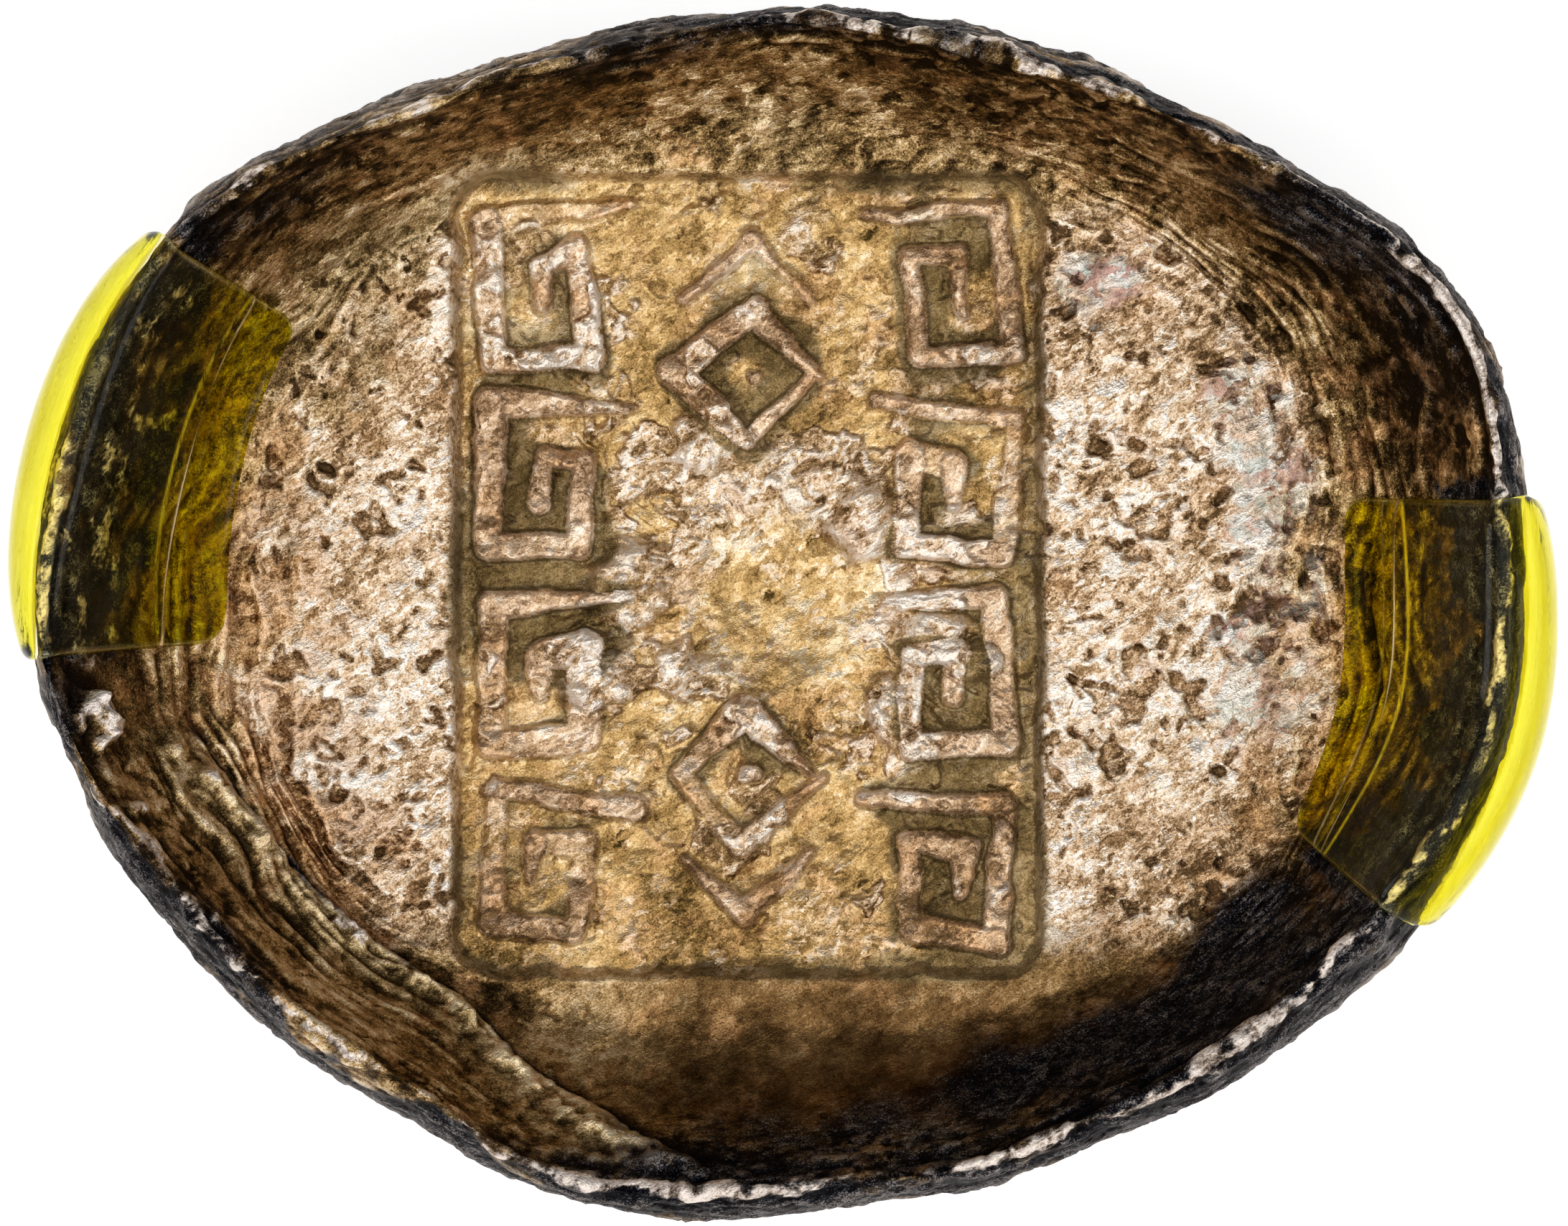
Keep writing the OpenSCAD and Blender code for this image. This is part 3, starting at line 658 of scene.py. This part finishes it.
# Dark colour of the painted shade and shadow in the panel
panel_shade_colour = (satin + edges * 0.1).shades(
    (0.36, (0.052, 0.034, 0.012)),
    (0.5, (0.14, 0.093, 0.036)),
    (0.66, (0.39, 0.27, 0.125)),
)
wall_value = satin + (fine - 0.5) * (1 - marked("calm")) * 0.5 + edges * 0.34 + high * 0.14 + marked("rubbed") * 0.14
wall_value = wall_value + scratches * 0.05 - marked("dusk") * 0.17 - 0.05
wall_colour = wall_value.shades(
    (0.28, (0.015, 0.0085, 0.003)),
    (0.40, (0.085, 0.049, 0.017)),
    (0.50, (0.25, 0.148, 0.052)),
    (0.60, (0.56, 0.37, 0.16)),
    (0.74, (0.95, 0.77, 0.52)),
)
bottom_colour = wall_value.shades(
    (0.30, (0.012, 0.006, 0.002)),
    (0.44, (0.075, 0.037, 0.012)),
    (0.56, (0.19, 0.102, 0.036)),
    (0.70, (0.50, 0.33, 0.15)),
)
gold_colour = wall_value.shades(
    (0.30, (0.045, 0.028, 0.010)),
    (0.42, (0.19, 0.125, 0.05)),
    (0.54, (0.42, 0.30, 0.14)),
    (0.70, (0.85, 0.68, 0.42)),
)
black = (fine + (dust - 0.5) * 0.4 + edges * 0.2 + high * 0.1).shades(
    (0.38, (0.002, 0.002, 0.003)),
    (0.50, (0.011, 0.011, 0.015)),
    (0.58, (0.045, 0.042, 0.045)),
    (0.70, (0.22, 0.195, 0.18)),
)
crest_colour = (fine + edges * 0.36).shades(
    (0.38, (0.075, 0.056, 0.042)),
    (0.49, (0.36, 0.28, 0.22)),
    (0.66, (0.88, 0.775, 0.685)),
)
flank_colour = (fine + edges * 0.2 + high * 0.25).shades(
    (0.34, (0.02, 0.017, 0.014)),
    (0.48, (0.14, 0.115, 0.09)),
    (0.58, (0.34, 0.29, 0.235)),
    (0.72, (0.72, 0.66, 0.58)),
)
flush_colour = (fine + edges * 0.2).shades((0.38, (0.12, 0.046, 0.013)), (0.62, (0.80, 0.44, 0.185)))

# The parts laid over one another: field, sheen, wall, panel with its strokes, flush, painted shade, flank, soot with a
# painted shadow line, bare crest with painted highlights
tarnish_cover = marked("tarnish") * 0.9 + (blotches - 0.5) * 1.5 + (patches - 0.5) * 0.6 - 0.15
colour = (tarnish_cover.between(0.2, 0.7) * 0.75).mix(field_colour, tarnish_colour)
wall_colour = (marked("gold") * 0.8).mix(marked("calm").mix(wall_colour, bottom_colour), gold_colour)
colour = wall_share.mix(colour, wall_colour)
bared_cover = (mottle(4.5, 4, 0.6, 0.5) + (plate - 0.5) * 0.3).between(0.52, 0.64)
bared = (bared_cover * 0.5).mix(panel_colour, field_colour)
colour = panel.mix(colour, (raised.between(0.25, 0.6) * 0.9).mix(bared, stroke_colour))
flush_cover = (mottle(2.2, 3) + marked("copper") * 0.22 + panel * 0.05).between(0.54, 0.7)
colour = (flush_cover * (0.45 + marked("copper") * 0.3)).mix(colour, flush_colour)
# The painted shade and border shadow laid over the panel
colour = ((grime + (blotches - 0.5) * 0.8).between(0.28, 0.74) * 0.85).mix(colour, panel_shade_colour)
colour = flank_share.mix(colour, flank_colour)
# Soot, with the painted shadow line of the fold
soot_and_shadow_cover = marked("soot") + (patches - 0.5) * 1.2 + (flecks - 0.5) * 0.8 + (dust - 0.5) * 0.5 - high * 0.2
soot_and_shadow_cover = soot_and_shadow_cover.between(0.1, 0.9)
colour = soot_and_shadow_cover.mix(colour, black)
# Bare metal and painted highlights in the crest colour
bare_and_highlight_cover = marked("bright") + (blotches - 0.5) * 0.6 + (patches - 0.5) * 1.0 + (flecks - 0.5) * 1.2 + edges * 0.35
colour = bare_and_highlight_cover.between(0.36, 0.86).mix(colour, crest_colour)

smooth = (panel + wall_share * (0.25 + marked("calm") * 0.75)).between(0.0, 1.0)
leaning = vectors("MULTIPLY_ADD", plates, (lean, lean, lean), (-lean / 2, -lean / 2, -lean / 2))
leaning = vectors("NORMALIZE", vectors("ADD", leaning, at.node("NewGeometry", output=1)))
relief = at.node(
    "Bump",
    {},
    {
        "Strength": 1.0,
        "Distance": 0.0003,
        "Height": (patches * 0.36 + flecks * 0.27 + plate * 0.05) * (1 - smooth * 0.6) + dust * 0.07,
        "Normal": leaning,
    },
)
surface_shader = at.node(
    "BsdfPrincipled",
    {},
    {
        "Base Color": colour,
        "Metallic": 1 - marked("steep") * 0.6,
        "Roughness": 0.6 - fine * 0.42 + soot_and_shadow_cover * 0.1,
        "Specular Tint": (0.7, 0.68, 0.66),
        "Normal": relief,
    },
)
at.node("OutputMaterial", {}, {"Surface": surface_shader})
ingot_mesh.materials.append(silver)
ingot = put_in_scene("ingot_silver", ingot_mesh)
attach(ingot, "ingot")
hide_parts("ingot")

# The two rim clips are clear amber plastic, each moulded in one piece: a skirt outside the rim, a thick bridge
# over it, and a thin flange that lies along the dish wall. Their spring holds them to the metal.
clip_wall, clip_flange, clip_skirt, clip_gap = 1.0, 0.7, 6.0, 0.3
clip_end_share, flange_start, flange_end, clip_corner = 0.14, 0.48, 0.82, 1.1
clip_edge_round, flange_edge_round, thinnest_edge = 0.5, 0.3, 0.0015
clip_sections, skirt_steps, flange_steps, ridge_steps, crowding = 96, 36, 44, 40, 0.45
near_turn, near_run = 0.5, 0.02


def rounded(distance, radius):
    """Share of a wall's thickness left near an edge that is rounded over this radius."""
    t = np.clip(1 - distance / radius, 0, 1)
    return np.sqrt(np.clip(1 - t**2, thinnest_edge, 1))


def of_length_1(arrows):
    """The same arrows, each made 1 long."""
    return arrows / np.linalg.norm(arrows, axis=-1, keepdims=True)


def clip_mesh(name, direction, blunt):
    """The closed skin of one clip, hooked over the rim in this direction, and thinned to both ends of its arc."""
    turn = np.linspace(-1, 1, clip_sections)
    turn = crowding * np.sin(turn * np.pi / 2) + (1 - crowding) * turn
    angles = (direction + clip_arc / 2 * turn)[:, None]
    reach = np.maximum(clip_end_share, np.sqrt(np.clip(1 - turn**2, 0, 1)))[:, None]
    crest = crest_level(angles)
    down_skirt = np.linspace(1, 0, skirt_steps, endpoint=False) ** 2
    height = crest - reach * (crest - belly_height + clip_skirt) * down_skirt
    climbed = np.degrees(np.arcsin(np.clip((height - belly_height) / (crest - belly_height), 0, 1))) / 90
    ridge = flange_start + np.linspace(-0.03, 0.12, ridge_steps)
    down_wall = np.concatenate([np.linspace(0, flange_end, flange_steps), ridge])
    down_wall = 1 + np.sort(down_wall) + 0 * angles
    station = np.concatenate([climbed, down_wall], axis=1)
    corner = np.clip(1 - wall_run * (1 + flange_end - station) / clip_corner, 0, 1)
    corner = clip_corner * (1 - np.sqrt(1 - corner**2))
    a = direction + turn[:, None] * (clip_arc / 2 - np.degrees(corner / field_half_length))
    spot = over_rim(a, station)
    sideways = over_rim(a + near_turn, station) - over_rim(a - near_turn, station)
    before, after = spot - over_rim(a, station - near_run), over_rim(a, station + near_run) - spot
    outward = of_length_1(np.cross(sideways, of_length_1(before) + of_length_1(after)))
    spot[:, :skirt_steps, 2] -= np.maximum(belly_height - height, 0)
    past_step = station - 1 - flange_start
    thick = clip_wall + (clip_flange - clip_wall) * rise(past_step, -0.015, 0.02)
    bow = np.where(turn > 0, np.abs(turn) ** blunt, turn**2)
    thick = thick * (0.2 + 0.8 * np.clip(1 - bow, 0, 1) ** 0.6)[:, None]
    from_end = (1 - np.abs(turn))[:, None] * math.radians(clip_arc / 2) * rim_reach
    step = np.linalg.norm(np.diff(spot, axis=1), axis=-1)
    walked = np.concatenate([np.zeros((clip_sections, 1)), np.cumsum(step, axis=1)], axis=1)
    left = rounded(from_end, clip_edge_round) * rounded(walked, clip_edge_round)
    left = left * rounded(walked[:, -1:] - walked, flange_edge_round)
    centre = clip_gap + thick / 2
    inner = spot + outward * (centre - left * thick / 2)[..., None]
    outer = spot + outward * (centre + left * thick / 2)[..., None]
    grid = np.arange(station.size).reshape(station.shape)
    far = grid + station.size
    faces = [
        np.stack([g[:-1, :-1], g[:-1, 1:], g[1:, 1:], g[1:, :-1]], axis=-1).reshape(-1, 4)[:, order]
        for g, order in ((grid, [0, 1, 2, 3]), (far, [3, 2, 1, 0]))
    ]
    edge = np.concatenate([grid[0, :-1], grid[:-1, -1], grid[-1, :0:-1], grid[:0:-1, 0]])
    onward = np.roll(edge, -1)
    faces.append(np.stack([onward, edge, edge + station.size, onward + station.size], axis=-1))
    corners = np.concatenate([inner.reshape(-1, 3), outer.reshape(-1, 3)]) * millimetre
    mesh = mesh_from(name, corners, np.concatenate(faces))
    # Painted highlights: a pale line along the step of the flange, a fainter one beside it, and one near each end of
    # the arc
    sway = past_step + 0.012 * np.sin(3 * turn + 0.6)[:, None]
    seam = 1.5 * hump(sway, 0.009) + 0.5 * hump(sway - 0.085, 0.008)
    seam = seam + 0.4 * hump(from_end - 0.12, 0.1) * rise(station, 0.9, 1.1)
    for part, amounts in [
        ("skirt", fall(station, 0.72, 0.88)),
        ("flange", rise(station, 1.1, 1.4)),
        ("seam", seam),
    ]:
        mark(mesh, part, np.tile(amounts.reshape(-1), 2))
    return mesh


amber, at = finish("amber_plastic")
place = at.node("Mapping", {}, {"Vector": at.node("TexCoord", output=3), "Scale": (1.0, 0.25, 0.6)})
flow = at.node("TexNoise", {}, {"Vector": place, "Scale": 1500.0, "Detail": 3.0, "Roughness": 0.5})
olive = flow.between(0.3, 0.7).mix((0.46, 0.43, 0.010), (0.68, 0.63, 0.016))
yellow = flow.between(0.3, 0.7).mix((0.70, 0.61, 0.002), (0.84, 0.75, 0.006))
tinted = marked("skirt").mix(marked("flange").mix((0.93, 0.89, 0.55), olive), yellow)
# The painted highlight lines, made pale and metallic so that they catch the lamps
seam = marked("seam") * flow.between(0.15, 0.4)
glass = at.node(
    "BsdfPrincipled",
    {},
    {
        "Base Color": seam.mix(tinted, (1.0, 0.97, 0.78)),
        "Metallic": seam * 0.8,
        "Roughness": 0.02 + flow * 0.06,
        "IOR": 1.04,
        "Transmission Weight": 1.0,
        "Coat Weight": 0.18 - marked("skirt") * 0.14,
        "Coat IOR": 1.45,
        "Coat Roughness": 0.08,
        "Normal": at.node("Bump", {}, {"Strength": 0.3, "Distance": 0.0001, "Height": flow}),
    },
)
film = at.node("BsdfTransparent", {}, {"Color": (0.97, 0.95, 0.70)})
lamp_ray = at.node("LightPath", output=1)
at.node("OutputMaterial", {}, {"Surface": at.node("MixShader", {}, {0: lamp_ray, 1: glass, 2: film})})
for name, direction, blunt in [("left_clip", left_clip_at, 2), ("right_clip", right_clip_at, 4)]:
    shape = clip_mesh(name + "_amber", direction, blunt)
    shape.materials.append(amber)
    clip = put_in_scene(name + "_amber", shape)
    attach(clip, name)
    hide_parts(name)

# The stand for the picture: a plain sheet of pale paper under the ingot, one large soft lamp overhead with a
# weaker one in front and on each side, and a camera straight above. The paper shows white to the camera.
sheet_half, sheet_drop = 2.0, 0.0001
sheet = np.array([(x * sheet_half, y * sheet_half, -sheet_drop) for x, y in [(-1, -1), (1, -1), (1, 1), (-1, 1)]])
floor_mesh = mesh_from("floor", sheet, np.array([[0, 1, 2, 3]]))
floor_paint, at = finish("floor_paper")
paper = at.node("BsdfDiffuse", {}, {"Color": (0.9, 0.9, 0.9)})
shine = at.node("Emission", {}, {"Color": (1.0, 1.0, 1.0), "Strength": 0.5})
glow = at.node("AddShader", {}, {0: paper, 1: shine})
seen = at.node("LightPath", output=0) + at.node("LightPath", output=3) + at.node("LightPath", output=6)
at.node("OutputMaterial", {}, {"Surface": at.node("MixShader", {}, {0: seen.between(0.0, 1.0), 1: paper, 2: glow})})
floor_mesh.materials.append(floor_paint)
floor = put_in_scene("floor", floor_mesh)

for name, spot, aim, wide, power in [
    ("overhead", (0.0, -0.1, 0.8), (0, 0, 0), 0.9, 3.4),
    ("front", (0.0, -0.75, 0.4), (0, 0, 0.01), 0.4, 1.3),
    ("left_side", (-0.65, 0.05, 0.45), (0, 0, 0.01), 0.25, 1.0),
    ("right_side", (0.65, -0.1, 0.45), (0, 0, 0.01), 0.25, 0.8),
]:
    lamp = bpy.data.lights.new(name, "AREA")
    lamp.shape, lamp.size, lamp.energy = "SQUARE", wide, power
    holder = put_in_scene(name, lamp)
    holder.location = spot
    away = np.array(spot) - np.array(aim)
    tip, swing = math.acos(away[2] / np.linalg.norm(away)), math.atan2(away[1], away[0]) + math.pi / 2
    holder.rotation_euler = (tip, 0, swing)
world = bpy.data.worlds.new("studio")
world.use_nodes = True
world.node_tree.nodes["Background"].inputs["Color"].default_value = (0.3, 0.3, 0.31, 1)
bpy.context.scene.world = world
bpy.context.scene.view_settings.view_transform = "Standard"

camera = bpy.data.cameras.new("above")
camera.lens, camera.sensor_width = 250.0, 36.0
viewer = put_in_scene("above", camera)
viewer.location = (0.0003, 0.0, 0.5)
bpy.context.scene.camera = viewer
